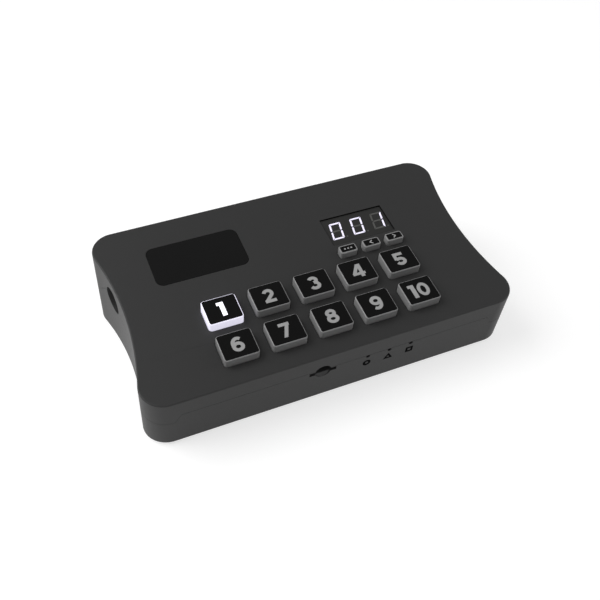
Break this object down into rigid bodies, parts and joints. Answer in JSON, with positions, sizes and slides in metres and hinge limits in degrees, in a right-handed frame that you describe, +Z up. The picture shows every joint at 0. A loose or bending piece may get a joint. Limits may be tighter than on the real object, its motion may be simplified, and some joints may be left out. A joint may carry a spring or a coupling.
{
  "type": "usb dmx controller",
  "caption": "Wedge-shaped desktop lighting controller with drawn-in sides, two rows of lit numbered keys, a digit display, a card slot and round rear outputs.",
  "frame": {"origin": "centre of the footprint, on the surface that the feet stand on", "axes": "+X along the long side to the right as seen by the person who presses the keys, +Y to the back where the output sockets are, +Z up"},
  "size_m": [0.163, 0.097, 0.0443],
  "materials": {
    "case_plastic": "fine matt moulded texture",
    "badge_plastic": "smooth, bare",
    "display_film": "smoked film",
    "black_plastic": "moulded",
    "board_laminate": "green solder mask",
    "plated_steel": "plated",
    "light_guide": "clear",
    "foot_rubber": "matt",
    "key_plastic": "frosted, black top with a number that the light shines through"
  },
  "bodies": {
    "case": {"top_shell": "case_plastic", "bottom_shell": "case_plastic", "badge_plate": "badge_plastic", "display_lens": "display_film", "display_module": "black_plastic", "main_board": "board_laminate", "controller_chip": "black_plastic", "card_socket": "plated_steel", "usb_socket": "plated_steel", "status_light_1": "light_guide", "status_light_2": "light_guide", "status_light_3": "light_guide", "dmx_socket_1": "black_plastic", "dmx_socket_2": "black_plastic", "dmx_insert_1": "black_plastic", "dmx_insert_2": "black_plastic", "case_screw_1": "plated_steel", "case_screw_2": "plated_steel", "case_screw_3": "plated_steel", "case_screw_4": "plated_steel", "board_screw_1": "plated_steel", "board_screw_2": "plated_steel", "board_screw_3": "plated_steel", "board_screw_4": "plated_steel", "foot_1": "foot_rubber", "foot_2": "foot_rubber", "foot_3": "foot_rubber", "foot_4": "foot_rubber", "switch_1": "black_plastic", "switch_2": "black_plastic", "switch_3": "black_plastic", "switch_4": "black_plastic", "switch_5": "black_plastic", "switch_6": "black_plastic", "switch_7": "black_plastic", "switch_8": "black_plastic", "switch_9": "black_plastic", "switch_10": "black_plastic", "switch_bank": "black_plastic", "switch_prev": "black_plastic", "switch_next": "black_plastic"},
    "key_1": {"key_1": "key_plastic"},
    "key_2": {"key_2": "key_plastic"},
    "key_3": {"key_3": "key_plastic"},
    "key_4": {"key_4": "key_plastic"},
    "key_5": {"key_5": "key_plastic"},
    "key_6": {"key_6": "key_plastic"},
    "key_7": {"key_7": "key_plastic"},
    "key_8": {"key_8": "key_plastic"},
    "key_9": {"key_9": "key_plastic"},
    "key_10": {"key_10": "key_plastic"},
    "key_bank": {"key_bank": "key_plastic"},
    "key_prev": {"key_prev": "key_plastic"},
    "key_next": {"key_next": "key_plastic"}
  },
  "joints": [
    {"name": "key_1_press", "type": "slide", "parent": "case", "child": "key_1", "axis": [0, 0.1805, -0.9836], "range_m": [0, 0.0008], "stiffness_N_per_m": 800, "springref_m": -0.0006},
    {"name": "key_2_press", "type": "slide", "parent": "case", "child": "key_2", "axis": [0, 0.1805, -0.9836], "range_m": [0, 0.0008], "stiffness_N_per_m": 800, "springref_m": -0.0006},
    {"name": "key_3_press", "type": "slide", "parent": "case", "child": "key_3", "axis": [0, 0.1805, -0.9836], "range_m": [0, 0.0008], "stiffness_N_per_m": 800, "springref_m": -0.0006},
    {"name": "key_4_press", "type": "slide", "parent": "case", "child": "key_4", "axis": [0, 0.1805, -0.9836], "range_m": [0, 0.0008], "stiffness_N_per_m": 800, "springref_m": -0.0006},
    {"name": "key_5_press", "type": "slide", "parent": "case", "child": "key_5", "axis": [0, 0.1805, -0.9836], "range_m": [0, 0.0008], "stiffness_N_per_m": 800, "springref_m": -0.0006},
    {"name": "key_6_press", "type": "slide", "parent": "case", "child": "key_6", "axis": [0, 0.1805, -0.9836], "range_m": [0, 0.0008], "stiffness_N_per_m": 800, "springref_m": -0.0006},
    {"name": "key_7_press", "type": "slide", "parent": "case", "child": "key_7", "axis": [0, 0.1805, -0.9836], "range_m": [0, 0.0008], "stiffness_N_per_m": 800, "springref_m": -0.0006},
    {"name": "key_8_press", "type": "slide", "parent": "case", "child": "key_8", "axis": [0, 0.1805, -0.9836], "range_m": [0, 0.0008], "stiffness_N_per_m": 800, "springref_m": -0.0006},
    {"name": "key_9_press", "type": "slide", "parent": "case", "child": "key_9", "axis": [0, 0.1805, -0.9836], "range_m": [0, 0.0008], "stiffness_N_per_m": 800, "springref_m": -0.0006},
    {"name": "key_10_press", "type": "slide", "parent": "case", "child": "key_10", "axis": [0, 0.1805, -0.9836], "range_m": [0, 0.0008], "stiffness_N_per_m": 800, "springref_m": -0.0006},
    {"name": "key_bank_press", "type": "slide", "parent": "case", "child": "key_bank", "axis": [0, 0.1805, -0.9836], "range_m": [0, 0.0008], "stiffness_N_per_m": 800, "springref_m": -0.0006},
    {"name": "key_prev_press", "type": "slide", "parent": "case", "child": "key_prev", "axis": [0, 0.1805, -0.9836], "range_m": [0, 0.0008], "stiffness_N_per_m": 800, "springref_m": -0.0006},
    {"name": "key_next_press", "type": "slide", "parent": "case", "child": "key_next", "axis": [0, 0.1805, -0.9836], "range_m": [0, 0.0008], "stiffness_N_per_m": 800, "springref_m": -0.0006}
  ]
}
